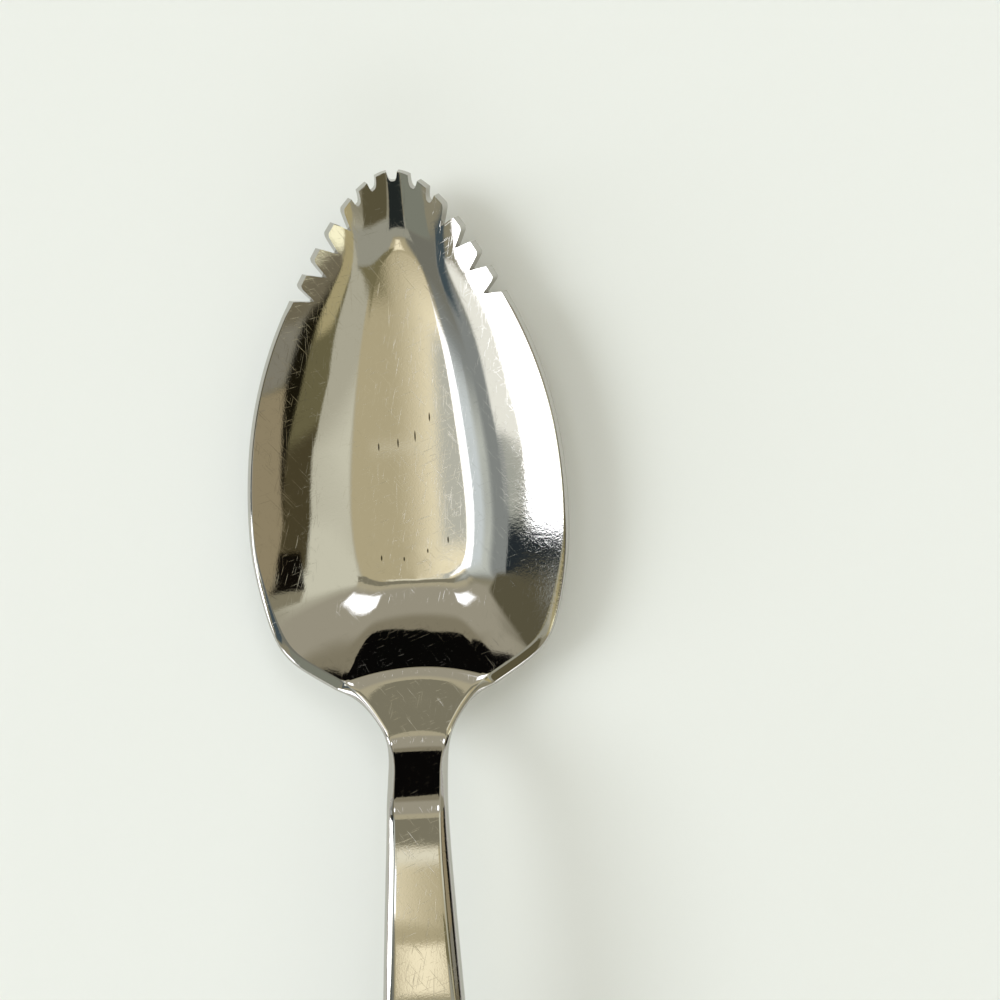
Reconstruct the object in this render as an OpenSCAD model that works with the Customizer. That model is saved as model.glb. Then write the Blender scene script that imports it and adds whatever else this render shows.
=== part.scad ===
// Grapefruit spoon of polished stainless steel, lying on a table with its bowl up.
// X runs across the spoon, +Y points from the handle to the tip and Z = 0 is the table.
// The spoon is one stamping. Its sections bowl, neck and handle meet face to face.
// Points are worked out as [across, along, up], with along measured back from the tip.

/* [Bowl] */
// Length from the tip to the corners where the rim runs into the neck
bowl_l = 47.3; // [42:0.1:54]
// Width between the inner edges of the rim
bowl_w = 28.9; // [25:0.1:34]
// Height of the rim above the table where the bowl is widest
rim_h = 6; // [5:0.1:8]
// Height of the rim at the tip
tip_h = 5.6; // [4.8:0.1:7.4]
// Thickness of the sheet in the bowl
sheet_t = 0.85; // [0.7:0.05:1.2]
// How far the rim's edge is rounded outwards
rim_round = 0.12; // [0.05:0.01:0.3]

/* [Bowl floor] */
// Width of the flat floor, whose underside is the face that the bowl rests on
floor_w = 10.4; // [8.6:0.1:13]
// Length of the wall between the tip and the floor
tip_wall_l = 6.9; // [5:0.1:9]
// Length of the wall between the floor and the neck
end_wall_l = 9.1; // [7.6:0.1:10.6]
// Length over which the floor curves up towards the tip
floor_curve_l = 25.5; // [18:0.5:28]
// How far that curve would lift the floor at the tip
floor_lift = 3.2; // [2.4:0.1:3.8]
// How early the wall swells up from the floor: 1 bends all the way, 1.5 is straight at the rim
wall_swell = 1.42; // [1.1:0.02:1.5]

/* [Teeth] */
// Teeth on each side of the tip that have round gullets between them
tip_teeth = 3; // [2:1:4]
// Teeth on each side behind them, with slanted gullets
side_teeth = 3; // [1:1:5]
// Length of each tooth along the rim
tooth_l = 1.08; // [0.8:0.02:1.4]
// Opening of each round gullet
tip_gullet_l = 1.01; // [0.8:0.01:1.3]
// Depth of each round gullet
tip_gullet_d = 0.8; // [0.4:0.05:1.1]
// Opening of each slanted gullet
side_gullet_l = 1.68; // [1.2:0.01:2]
// Depth of each slanted gullet
side_gullet_d = 1.4; // [0.8:0.05:1.5]

/* [Neck] */
// Length from the bowl's corners to the handle
neck_l = 16.1; // [14:0.1:22]
// Width of the top face where the neck leaves the bowl
root_w = 13.2; // [12:0.1:14.5]
// Thickness where the neck leaves the bowl
root_t = 1.7; // [1.3:0.1:2.2]
// Height of the bowl's corners
root_h = 6.3; // [5.6:0.1:7.4]
// How far the neck's root dips between those corners
root_dip = 0.45; // [0.2:0.05:0.6]
// How far the edge between bowl and neck bows towards the tip
root_bow = 1; // [0.5:0.1:1.3]
// Length and height of the rounded lip between the bowl's end wall and the neck's top face
lip_l = 1; // [0.6:0.1:1.4]
lip_h = 0.42; // [0.2:0.02:0.6]
// Length over which the shoulders sweep in to the narrowest place
sweep_l = 8.2; // [7:0.1:11]
// Width of the top face at the narrowest place
neck_w = 3.9; // [3:0.1:6]
// Thickness at the narrowest place
neck_t = 3; // [2.4:0.1:3.8]
// Distance from the bowl's corners to the bend where the neck turns up
ramp_from_l = 5.8; // [4.5:0.1:7]
// Distance from the corners to the bend where the neck levels out again
ramp_to_l = 10.2; // [9.4:0.1:12]
// Height of the top face at that second bend
neck_h = 11.7; // [10:0.1:13]
// Length of each bend to either side of its middle
bend_l = 0.7; // [0.4:0.1:1.4]
// How far the sides bulge out beyond the top face at the bowl's corners
shoulder_round = 1.25; // [0.8:0.05:1.4]
// How far the sides bulge out where the neck is narrowest
neck_round = 0.76; // [0.5:0.02:1]

/* [Handle] */
// Length from the neck to the butt
handle_l = 93.9; // [80:0.1:110]
// Width of the top face where the handle leaves the neck
handle_w = 4; // [3.5:0.1:6]
// Width of the top face at the butt
butt_w = 13.6; // [9:0.1:16]
// Length of the rounding of the butt
butt_round_l = 6; // [4:0.1:8]
// Thickness where the handle leaves the neck
handle_t = 2.7; // [2.2:0.1:3.2]
// Thickness at the butt
butt_t = 1.8; // [1.4:0.1:2.4]
// How far the handle's sides bulge out beyond its top face
handle_round = 0.96; // [0.7:0.05:1.2]
// Height of the top face where the handle arches highest
arch_h = 14.4; // [13.4:0.1:17]
// Distance of that place from the neck
arch_l = 14; // [11:0.5:22]
// Height of the top face half way along the handle
mid_h = 10.4; // [9.4:0.1:11.4]
// Length of the toe behind the line that the handle rests on
toe_l = 5; // [3:0.5:7]
// How far the toe turns up
toe_lift = 0.25; // [0:0.05:0.6]

/* [Hidden] */

// Counts of rows and columns of faces
rings = 7;
side_cols = 5;
neck_rows = 22;
handle_rows = 30;
butt_rows = 6;
samples_per_knot = 20;

// Spacing of the points along the plain rim, and room between a gullet and the first ring
rim_step = 1.7;
gullet_clear = 0.5;

// The rim's inner edge in plan, as shares of half the bowl's width and of its length.
// One more knot follows, at the corner, where the neck's root sets the width.
rim_shares = [
    [0, 0], [0.121, 0.013], [0.258, 0.049], [0.384, 0.098], [0.51, 0.16], [0.678, 0.253],
    [0.841, 0.368], [0.962, 0.515], [1, 0.668], [0.972, 0.77], [0.896, 0.86],
    [0.817, 0.918], [0.72, 0.95], [0.595, 0.975]
];
widest_knot = 8;

// The floor's edge, knot by knot below the rim's, as shares of half its width and of its length
floor_shares = [
    [0, 0], [0.13, 0.003], [0.28, 0.024], [0.42, 0.065], [0.525, 0.133], [0.65, 0.246],
    [0.77, 0.379], [0.88, 0.547], [0.97, 0.704], [1, 0.814], [0.985, 0.896],
    [0.92, 0.947], [0.82, 0.973], [0.7, 0.988], [0.57, 0.997]
];

// A gullet's outline, as shares of its opening and of its depth
round_gullet_shares = [[0.08, 0.5], [0.28, 0.95], [0.5, 1], [0.72, 0.95], [0.92, 0.5]];
slant_gullet_shares = [[0.15, 0.15], [0.42, 1], [0.54, 0.9], [0.78, 0.42]];

// The rounded side of the metal, as shares of its bulge and of the thickness
edge_shares = [[0.62, 0.12], [1, 0.42], [0.8, 0.8]];

// Where the shoulders are half way in, as shares of the sweep's length and of the width lost
sweep_mid_share = [0.45, 0.325];

// The sheet starts to thicken and turn upright at this share of the end wall before the floor's end
thicken_share = 0.7;
// It keeps its own thickness at the floor's edge, and thickens over this share of the spoke above
fade_share = 0.5;
// Inside the rim the upright walls have turned square to the sheet at this share of the spoke
upright_share = 0.6;
// The root's bow and dip have died out at these shares of the sweep
bow_end_share = 0.5;
dip_end_share = 0.8;
// Half way along the sweep the sides bulge least, as shares of the sweep's length and of the neck's bulge
waist_share = [0.5, 0.5];
// The butt's last row starts at this angle round its rounding
butt_angle = 56;
// Step of the numeric slopes along a spoke
slope_step_share = 0.002;

// Slopes in rise over run: the top face along the spoon, and the shoulders in plan
lip_slope = 0.85;
root_slope = 0.22;
handle_slope = 0.26;
mid_slope = 0.21;
toe_slope = 0.12;
shoulder_slope = 1.2;
sweep_mid_slope = 0.62;
waist_slope = 0.6;

floor_l = bowl_l - tip_wall_l - end_wall_l;
thicken_from = tip_wall_l + floor_l - thicken_share * end_wall_l;
run_l = neck_l + handle_l;
butt_from = run_l - butt_round_l;
rest_from = run_l - toe_l;
gullets = tip_teeth + side_teeth;
tip_pitch = tooth_l + tip_gullet_l;
side_pitch = tooth_l + side_gullet_l;

function mix(a, b, f) = a + (b - a) * f;
function clip(f) = max(0, min(1, f));
function ease(f) = let (c = clip(f)) c * c * (3 - 2 * c);
function unit(v) = v / norm(v);
function mirrored(p) = [-p[0], p[1], p[2]];
function backwards(v) = [for (i = [len(v) - 1:-1:0]) v[i]];

// Cubic from a to b whose end slopes are m and n, at f from 0 to 1
function cubic(a, b, m, n, f) =
    a * (1 + 2 * f) * (1 - f) * (1 - f) + m * f * (1 - f) * (1 - f)
    + b * f * f * (3 - 2 * f) - n * f * f * (1 - f);

// Smooth plan curve through the knots k, one unit of t to a knot, mirrored across X at t = 0
function knot_slope(k, i) =
    i == 0 ? [k[1][0], 0]
    : i == len(k) - 1 ? k[i] - k[i - 1]
    : (k[i + 1] - k[i - 1]) / 2;
function smooth(k, t) =
    let (i = min(floor(t), len(k) - 2))
    cubic(k[i], k[i + 1], knot_slope(k, i), knot_slope(k, i + 1), t - i);

// Value at s of the curve through the [place, value, slope] knots k
function rise(k, s, i = 0) =
    i < len(k) - 2 && s > k[i + 1][0] ? rise(k, s, i + 1)
    : let (l = k[i + 1][0] - k[i][0])
      cubic(k[i][1], k[i + 1][1], k[i][2] * l, k[i + 1][2] * l, (s - k[i][0]) / l);

// Rim and floor in plan

rim_knots = concat(
    [for (p = rim_shares) [p[0] * bowl_w / 2, p[1] * bowl_l]],
    [[root_w / 2, bowl_l]]
);
floor_knots = [for (p = floor_shares) [p[0] * floor_w / 2, tip_wall_l + p[1] * floor_l]];
last_knot = len(rim_knots) - 1;

// Lengths along the rim from the tip, so that the teeth keep their size round the curve
samples = samples_per_knot * last_knot;
rim_samples = [for (i = [0:samples]) smooth(rim_knots, i / samples_per_knot)];
function add_up(v, i = 0, total = 0, out = [0]) =
    i >= len(v) ? out : add_up(v, i + 1, total + v[i], concat(out, [total + v[i]]));
rim_lengths = add_up([for (i = [1:samples]) norm(rim_samples[i] - rim_samples[i - 1])]);
rim_l = rim_lengths[samples];
function sample_before(d, i = 0) =
    i >= samples - 1 || rim_lengths[i + 1] >= d ? i : sample_before(d, i + 1);
function knot_at(d) =
    let (i = sample_before(d), l = rim_lengths[i + 1] - rim_lengths[i])
    (i + clip((d - rim_lengths[i]) / l)) / samples_per_knot;

// Gullet 0 is centred on the tip, and the others follow it round each side
function gullet_start(g) =
    g < tip_teeth ? g * tip_pitch - tip_gullet_l / 2
    : (tip_teeth - 1) * tip_pitch + tip_gullet_l / 2 + tooth_l + (g - tip_teeth) * side_pitch;
function gullet_l(g) = g < tip_teeth ? tip_gullet_l : side_gullet_l;
function gullet_d(g) = g < tip_teeth ? tip_gullet_d : side_gullet_d;
function gullet_shares(g) = g < tip_teeth ? round_gullet_shares : slant_gullet_shares;
teeth_end = gullet_start(gullets) + side_gullet_l;

// One side of the toothed rim, as [length along the rim, depth of the cut]
function gullet_points(g) = [
    for (s = gullet_shares(g))
        if (g > 0 || s[0] >= 0.5)
            [gullet_start(g) + s[0] * gullet_l(g), s[1] * gullet_d(g)]
];
function tooth_points(g) = [
    for (f = [0, 0.5, 1])
        [mix(gullet_start(g) + gullet_l(g), gullet_start(g + 1), f), 0]
];
plain_steps = ceil((rim_l - teeth_end) / rim_step);
rim_points = concat(
    [for (g = [0:gullets]) each concat(gullet_points(g), g < gullets ? tooth_points(g) : [])],
    [for (i = [0:plain_steps]) [mix(teeth_end, rim_l, i / plain_steps), 0]]
);

// Heights of the rim, the floor and the edge between bowl and neck

rim_heights = [
    [0, tip_h, 0],
    [rim_shares[widest_knot][1] * bowl_l, rim_h, 0],
    [bowl_l, root_h, root_slope]
];
function floor_z(s) = let (f = max(0, 1 - s / floor_curve_l)) sheet_t + floor_lift * f * f;
function floor_slope(s) = -2 * floor_lift / floor_curve_l * max(0, 1 - s / floor_curve_l);
function root_point(u) = [u * root_w / 2, bowl_l - root_bow * (1 - u * u)];
function root_z(u) = root_h - root_dip * (1 - u * u);
function turning(s) = ease((s - thicken_from) / (bowl_l - thicken_from));

// A spoke runs down the bowl's wall from the rim to the floor's edge. It is
// [rim in plan, floor in plan, rim height, share cut away, share upright, bulge of the edge]
function rim_spoke(p) =
    let (t = knot_at(p[0]), r = smooth(rim_knots, t), f = smooth(floor_knots, t))
    [
        r, f, rise(rim_heights, r[1]), p[1] / norm(f - r), turning(r[1]),
        mix(rim_round, shoulder_round, turning(r[1])) * clip((p[0] - teeth_end) / rim_step)
    ];
function root_spoke(u) = [
    root_point(u), mix([0, tip_wall_l + floor_l], floor_knots[last_knot], u), root_z(u), 0, 1, 0
];
function flipped(s) = [[-s[0][0], s[0][1]], [-s[1][0], s[1][1]], s[2], s[3], s[4], s[5]];

half_loop = concat(
    [for (p = rim_points) rim_spoke(p)],
    [for (j = [side_cols - 1:-1:0]) root_spoke(j / side_cols)]
);
corner = len(rim_points) - 1;
half_last = len(half_loop) - 1;
spokes = concat(half_loop, [for (i = [half_last - 1:-1:1]) flipped(half_loop[i])]);
spoke_count = len(spokes);
function around(k) = (k + spoke_count) % spoke_count;

function wall_rise(up) = up * up * (wall_swell - (wall_swell - 1) * up);
function wall_point(s, f) =
    let (p = mix(s[0], s[1], f))
    [p[0], p[1], floor_z(p[1]) + (s[2] - floor_z(s[0][1])) * wall_rise(1 - f)];

// Ring 0 is the cut edge, ring 1 clears the gullets and the last ring is the floor's edge
function ring_share(s, r) =
    r == 0 ? s[3]
    : mix((side_gullet_d + gullet_clear) / norm(s[1] - s[0]), 1, (r - 1) / (rings - 1));

// Direction through the sheet, from its top to its underside
function through(k, f) =
    let (
        s = spokes[k],
        along = wall_point(spokes[around(k + 1)], f) - wall_point(spokes[around(k - 1)], f),
        inward = wall_point(s, f + slope_step_share) - wall_point(s, f),
        n = unit(cross(along, inward))
    )
    -unit(mix(n, [0, 0, 1], s[4] * clip(1 - f / upright_share)));
function through_floor(s) = -unit([0, -floor_slope(s), 1]);
function sheet_at(k, f, s) =
    let (thicker = mix(sheet_t, root_t, turning(s) * clip((1 - f) / fade_share)))
    mix(thicker, root_t, spokes[k][4] * clip(1 - f / upright_share));

tops = [for (r = [0:rings], k = [0:spoke_count - 1]) wall_point(spokes[k], ring_share(spokes[k], r))];
function ring_down(r, k) =
    let (f = ring_share(spokes[k], r), s = tops[r * spoke_count + k][1])
    r == rings ? sheet_t * through_floor(s) : sheet_at(k, f, s) * through(k, f);
downs = [for (r = [0:rings], k = [0:spoke_count - 1]) ring_down(r, k)];
lows = tops + downs;

// The rounded side below the point p of a top face
function side_points(p, out, down, bulge) =
    [for (e = edge_shares) p + bulge * e[0] * out + e[1] * down];

// Neck and handle, with places measured back from the bowl's corners

flare = (butt_w - handle_w) / 2 / (butt_from - neck_l);
half_widths = [
    [0, root_w / 2, -shoulder_slope],
    [sweep_mid_share[0] * sweep_l, mix(neck_w, root_w, sweep_mid_share[1]) / 2, -sweep_mid_slope],
    [sweep_l, neck_w / 2, 0],
    [neck_l, handle_w / 2, flare],
    [butt_from, butt_w / 2, flare]
];
lip_end_h = root_h - root_dip + lip_h;
ramp_h = lip_end_h + root_slope * (ramp_from_l - lip_l);
ramp_slope = (neck_h - ramp_h) / (ramp_to_l - ramp_from_l);
heights = [
    [0, root_h - root_dip, lip_slope],
    [lip_l, lip_end_h, root_slope],
    [ramp_from_l - bend_l, ramp_h - root_slope * bend_l, root_slope],
    [ramp_from_l + bend_l, ramp_h + ramp_slope * bend_l, ramp_slope],
    [ramp_to_l - bend_l, neck_h - ramp_slope * bend_l, ramp_slope],
    [ramp_to_l + bend_l, neck_h + handle_slope * bend_l, handle_slope],
    [neck_l + arch_l, arch_h, 0],
    [neck_l + handle_l / 2, mid_h, -mid_slope],
    [rest_from, butt_t, 0],
    [run_l, butt_t + toe_lift, toe_slope]
];
thicknesses = [
    [0, root_t, 0],
    [sweep_l, neck_t, 0],
    [neck_l, handle_t, 0],
    [rest_from, butt_t, 0]
];
function thick(n) = rise(thicknesses, min(n, rest_from));
bulges = [
    [0, shoulder_round, -waist_slope],
    [waist_share[0] * sweep_l, waist_share[1] * neck_round, 0],
    [sweep_l, neck_round, 0],
    [neck_l, handle_round, 0]
];
function bulge(n) = rise(bulges, min(n, neck_l));
function plan_slope(n) =
    let (d = slope_step_share * sweep_l, a = max(0, n - d))
    (rise(half_widths, a + 2 * d) - rise(half_widths, a)) / (2 * d);
function neck_out(n) = unit([1, -plan_slope(n), 0]);

// The rim's rounded edge, from the left corner round the tip to the right corner

function rim_out(k) =
    k == 0 ? [0, -1, 0]
    : k == corner ? neck_out(0)
    : let (d = unit(spokes[k + 1][0] - spokes[k - 1][0])) [d[1], -d[0], 0];
half_sides = [for (k = [0:corner]) side_points(tops[k], rim_out(k), downs[k], spokes[k][5])];
rim_sides = concat(
    [for (k = [corner:-1:1]) [for (p = half_sides[k]) mirrored(p)]],
    half_sides
);

// Sections of the neck and handle

cols = 2 * side_cols;
function col(j) = j / side_cols - 1;

// A section is a closed ring: the top from left to right, the right side, the underside
// from right to left and the left side
function section(top, out, bulge, t) =
    let (right = side_points(top[cols], out, [0, 0, -t], bulge))
    concat(
        top, right,
        [for (p = backwards(top)) p - [0, 0, t]],
        [for (p = backwards(right)) mirrored(p)]
    );
section_count = 2 * (cols + 1) + 2 * len(edge_shares);

function straight_section(n) =
    let (
        w = rise(half_widths, n), z = rise(heights, n), t = thick(n),
        bow = root_bow * (1 - ease(n / (bow_end_share * sweep_l))),
        dip = root_dip * (1 - ease(n / (dip_end_share * sweep_l)))
    )
    section(
        [
            for (j = [0:cols])
                let (u = col(j))
                [u * w, bowl_l + n - bow * (1 - u * u), z + dip * u * u]
        ],
        neck_out(n), bulge(n), t
    );

// The butt is half an ellipse in plan, and its rows bend more and more until they follow it
function butt_out(x, n) =
    let (a = butt_w / 2)
    unit([x / a / a, (n - butt_from) / butt_round_l / butt_round_l, 0]);
function butt_n(x) = butt_from + butt_round_l * sqrt(max(0, 1 - pow(2 * x / butt_w, 2)));
function butt_top(i) =
    let (f = i / butt_rows, w = butt_w / 2 * cos(f * butt_angle))
    [
        for (j = [0:cols])
            let (x = col(j) * w, n = mix(butt_n(w), butt_n(x), f * f))
            [x, bowl_l + n, rise(heights, n)]
    ];
function butt_section(i) =
    let (top = butt_top(i), p = top[cols])
    section(top, butt_out(p[0], p[1] - bowl_l), bulge(run_l), butt_t);
butt_sides = [
    for (p = butt_top(butt_rows))
        side_points(p, butt_out(p[0], p[1] - bowl_l), [0, 0, -butt_t], bulge(run_l))
];

// The part's origin is on the table below the middle of its outermost length
tip_end = min([for (p = concat(tops, lows)) p[1]]);
butt_end = bowl_l + run_l + handle_round;
middle = (tip_end + butt_end) / 2;
function place(points) = [for (p = points) [p[0], middle - p[1], p[2]]];

// Triangles between two rows of vertices that lie side by side
function strip(a, b) = [
    for (i = [0:len(a) - 2])
        each [[a[i], a[i + 1], b[i + 1]], [a[i], b[i + 1], b[i]]]
];
function closed(row) = concat(row, [row[0]]);
function whole(faces) = [for (f = faces) if (f[0] != f[1] && f[1] != f[2] && f[2] != f[0]) f];
function reversed(faces) = [for (f = faces) backwards(f)];
function fan(point, row) = [for (i = [0:len(row) - 2]) [point, row[i], row[i + 1]]];

module bowl() {
    low_from = len(tops);
    side_from = low_from + len(lows);
    edges = len(edge_shares);
    rim_order = [for (i = [-corner:corner]) around(i)];
    root_order = [for (k = [corner:2 * half_last - corner]) k];
    right = [for (k = [0:half_last]) rings * spoke_count + k];
    left = [for (k = [0:half_last]) rings * spoke_count + around(-k)];
    function row(from, order) = [for (k = order) from + k];
    function side_row(e) = [for (i = [0:2 * corner]) side_from + i * edges + e];
    function ring(from, r) = closed([for (k = [0:spoke_count - 1]) from + r * spoke_count + k]);
    function all_sides(i) = [for (e = [0:edges - 1]) side_from + i * edges + e];
    color("lightgray")
        polyhedron(
            points = place(concat(tops, lows, [for (s = rim_sides) each s])),
            faces = concat(
                [for (r = [0:rings - 1]) each strip(ring(0, r), ring(0, r + 1))],
                [for (r = [0:rings - 1]) each strip(ring(low_from, r + 1), ring(low_from, r))],
                whole(strip(right, left)),
                whole(strip([for (k = left) low_from + k], [for (k = right) low_from + k])),
                strip(side_row(0), row(0, rim_order)),
                [for (e = [1:edges - 1]) each strip(side_row(e), side_row(e - 1))],
                strip(row(low_from, rim_order), side_row(edges - 1)),
                strip(row(low_from, root_order), row(0, root_order)),
                fan(low_from + corner, concat([corner], all_sides(2 * corner))),
                fan(low_from + around(-corner), concat(backwards(all_sides(0)), [around(-corner)]))
            )
        );
}

// Faces that close a section at its end nearer the tip
function end_faces(first) =
    let (
        edges = len(edge_shares),
        top = [for (j = [0:cols]) first + j],
        right = [for (e = [0:edges - 1]) first + cols + 1 + e],
        low = [for (j = [0:cols]) first + 2 * cols + 1 + edges - j],
        left = [for (e = [0:edges - 1]) first + section_count - 1 - e]
    )
    concat(
        reversed(strip(backwards(low), backwards(top))),
        reversed(fan(low[cols], concat([top[cols]], right))),
        reversed(fan(low[0], concat(backwards(left), [top[0]])))
    );
function section_row(i) = closed([for (k = [0:section_count - 1]) i * section_count + k]);
function skin(rows) = [for (i = [0:rows - 1]) each strip(section_row(i), section_row(i + 1))];

module neck() {
    color("lightgray")
        polyhedron(
            points = place([
                for (i = [0:neck_rows])
                    each straight_section(neck_l * i / neck_rows)
            ]),
            faces = concat(
                end_faces(0), skin(neck_rows),
                reversed(end_faces(neck_rows * section_count))
            )
        );
}

module handle() {
    rows = handle_rows + butt_rows;
    edges = len(edge_shares);
    last = rows * section_count;
    more = last + section_count;
    function butt_row(e) = concat(
        [last + section_count - 1 - e],
        [for (j = [1:cols - 1]) more + (j - 1) * edges + e],
        [last + cols + 1 + e]
    );
    top = [for (j = [0:cols]) last + j];
    low = [for (j = [0:cols]) last + 2 * cols + 1 + edges - j];
    color("lightgray")
        polyhedron(
            points = place(concat(
                [
                    for (i = [0:handle_rows])
                        each straight_section(mix(neck_l, butt_from, i / handle_rows))
                ],
                [for (i = [1:butt_rows]) each butt_section(i)],
                [for (j = [1:cols - 1]) each butt_sides[j]]
            )),
            faces = concat(
                end_faces(0), skin(rows),
                strip(top, butt_row(0)),
                [for (e = [1:edges - 1]) each strip(butt_row(e - 1), butt_row(e))],
                strip(butt_row(edges - 1), low)
            )
        );
}

bowl();
neck();
handle();
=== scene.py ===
import math

import bmesh
import bpy
import numpy as np
from mathutils import Euler, Matrix, Vector


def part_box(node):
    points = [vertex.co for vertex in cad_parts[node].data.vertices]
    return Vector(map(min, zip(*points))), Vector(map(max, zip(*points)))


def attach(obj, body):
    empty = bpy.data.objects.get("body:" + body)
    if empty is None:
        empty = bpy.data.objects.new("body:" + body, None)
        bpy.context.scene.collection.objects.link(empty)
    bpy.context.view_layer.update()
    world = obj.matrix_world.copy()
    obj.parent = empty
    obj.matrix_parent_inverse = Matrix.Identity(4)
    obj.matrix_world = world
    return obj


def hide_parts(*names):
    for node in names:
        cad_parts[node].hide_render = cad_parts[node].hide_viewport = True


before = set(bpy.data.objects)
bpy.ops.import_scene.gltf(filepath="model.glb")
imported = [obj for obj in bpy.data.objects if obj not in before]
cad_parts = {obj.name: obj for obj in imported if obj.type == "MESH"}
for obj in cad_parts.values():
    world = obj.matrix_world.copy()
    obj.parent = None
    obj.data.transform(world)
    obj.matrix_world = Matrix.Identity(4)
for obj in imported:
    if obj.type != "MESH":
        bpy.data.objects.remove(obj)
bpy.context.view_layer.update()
print("frame loaded")

mm = 0.001  # the dictionaries are in millimetres and degrees, but for the table and the daylight, in metres
mergeWithin, middleWithin = 1e-7, 1e-6  # metres


def mix(a, b, share):
    return a + (b - a) * share


def ease(share):
    c = np.clip(share, 0, 1)
    return c * c * (3 - 2 * c)


# From a to b with the end slopes m and n
def cubic(a, b, m, n, f):
    return (a * (1 + 2 * f) * (1 - f) ** 2 + m * f * (1 - f) ** 2
            + b * f * f * (3 - 2 * f) - n * f * f * (1 - f))


# Bowl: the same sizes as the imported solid, pressed from a flat blank
bowl = {
    "length": 47.3, "width": 28.9,
    "rimHeight": 6.0, "tipHeight": 5.6, "cornerHeight": 6.3,
    "sheet": 0.85, "rimBulge": 0.12,
    "floorWidth": 10.4, "tipWall": 6.9, "endWall": 9.1,
    "floorCurve": 25.5, "floorLift": 3.2, "wallSwell": 1.42,
    "thickenShare": 0.7, "fadeShare": 0.5, "uprightShare": 0.6,
    "rimStep": 0.45, "edgeRow": 0.12, "gulletRoom": 0.5,
    "edgeRows": 3, "wallRows": 22, "floorRows": 7,
    "spineFrom": 10.5, "spineTo": 35,
    "wallPacking": 1.5, "floorPacking": 1.7, "probe": 0.002,
    "floorSag": 0.007,  # hollow of the floor, mm per square mm off its middle line
    "smoothFrom": 3, "smoothTo": 30, "smoothColumns": 10, "smoothTimes": 6, "smoothing": 0.5,
    "samplesPerKnot": 60,
    # rim and floor in plan, as shares of half the width and of the length
    "rimShares": [(0, 0), (0.121, 0.013), (0.258, 0.049), (0.384, 0.098), (0.51, 0.16),
                  (0.678, 0.253), (0.841, 0.368), (0.962, 0.515), (1, 0.668), (0.972, 0.77),
                  (0.896, 0.86), (0.817, 0.918), (0.72, 0.95), (0.595, 0.975)],
    "floorShares": [(0, 0), (0.13, 0.003), (0.28, 0.024), (0.42, 0.065), (0.525, 0.133),
                    (0.65, 0.246), (0.77, 0.379), (0.88, 0.547), (0.97, 0.704), (1, 0.814),
                    (0.985, 0.896), (0.92, 0.947), (0.82, 0.973), (0.7, 0.988), (0.57, 0.997)],
    "widestKnot": 8,
}
teeth = {
    "tipTeeth": 3, "sideTeeth": 3, "toothLength": 1.08,
    "tipGullet": 1.01, "tipDepth": 0.8, "sideGullet": 1.68, "sideDepth": 1.4, "bulgeFade": 1.7,
    "toothShares": (0, 0.07, 0.3, 0.5, 0.7, 0.93, 1),
    "roundShares": [(0.04, 0.3), (0.1, 0.58), (0.2, 0.84), (0.33, 0.97), (0.5, 1),
                    (0.67, 0.97), (0.8, 0.84), (0.9, 0.58), (0.96, 0.3)],
    "slantShares": [(0.08, 0.06), (0.15, 0.15), (0.28, 0.56), (0.38, 0.9), (0.42, 1),
                    (0.46, 0.98), (0.54, 0.9), (0.66, 0.67), (0.78, 0.42), (0.9, 0.18)],
}
neck = {
    "length": 16.1, "rootWidth": 13.2, "rootThickness": 1.7, "rootDip": 0.45, "rootBow": 1.0,
    "lip": 1.0, "lipHeight": 0.42, "lipSlope": 0.85,
    "sweep": 8.2, "width": 3.9, "thickness": 3.0,
    "shoulderBulge": 1.25, "bulge": 0.76, "waistPlace": 0.5, "waistShare": 0.5, "waistSlope": 0.6,
    "rampFrom": 5.8, "rampTo": 10.2, "height": 11.7, "bend": 0.7,
    "rootSlope": 0.22, "shoulderSlope": 1.2,
    "midLengthShare": 0.45, "midWidthShare": 0.325, "midSlope": 0.62,
    "bowEndShare": 0.5, "dipEndShare": 0.8, "columns": 12, "rowStep": 0.45, "probe": 0.02,
}
handle = {
    "length": 93.9, "width": 4.0, "slope": 0.26, "buttWidth": 13.6, "buttRound": 6.0,
    "thickness": 2.7, "buttThickness": 1.8, "bulge": 0.96,
    "archHeight": 14.4, "archPlace": 14.0, "midHeight": 10.4, "midSlope": 0.21,
    "toe": 5.0, "toeLift": 0.25, "toeSlope": 0.12,
    "rowStep": 1.1, "buttRows": 14, "buttAngle": 62,
}
# The side of the metal from its top edge to the underside, row by row: rolled over, chamfered, then round
side = {
    "outShares": (0.1, 0.26, 0.52, 0.76, 0.92, 1, 0.96, 0.8, 0.45),
    "chamfer": 38, "chamferShares": (0.25, 0.6, 0.82, 0.9), "steepest": 0.4,
    "fall": 0.08, "widestShare": 0.4, "underShares": (0.35, 0.68, 0.91), "sharpFrom": 38,
}

root = neck["rootWidth"] / 2
runLength = neck["length"] + handle["length"]
buttFrom = runLength - handle["buttRound"]
restFrom = runLength - handle["toe"]
floorLength = bowl["length"] - bowl["tipWall"] - bowl["endWall"]
floorEnd = bowl["tipWall"] + floorLength
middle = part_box("handle")[0].y / mm + bowl["length"] + runLength + handle["bulge"]


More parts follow.
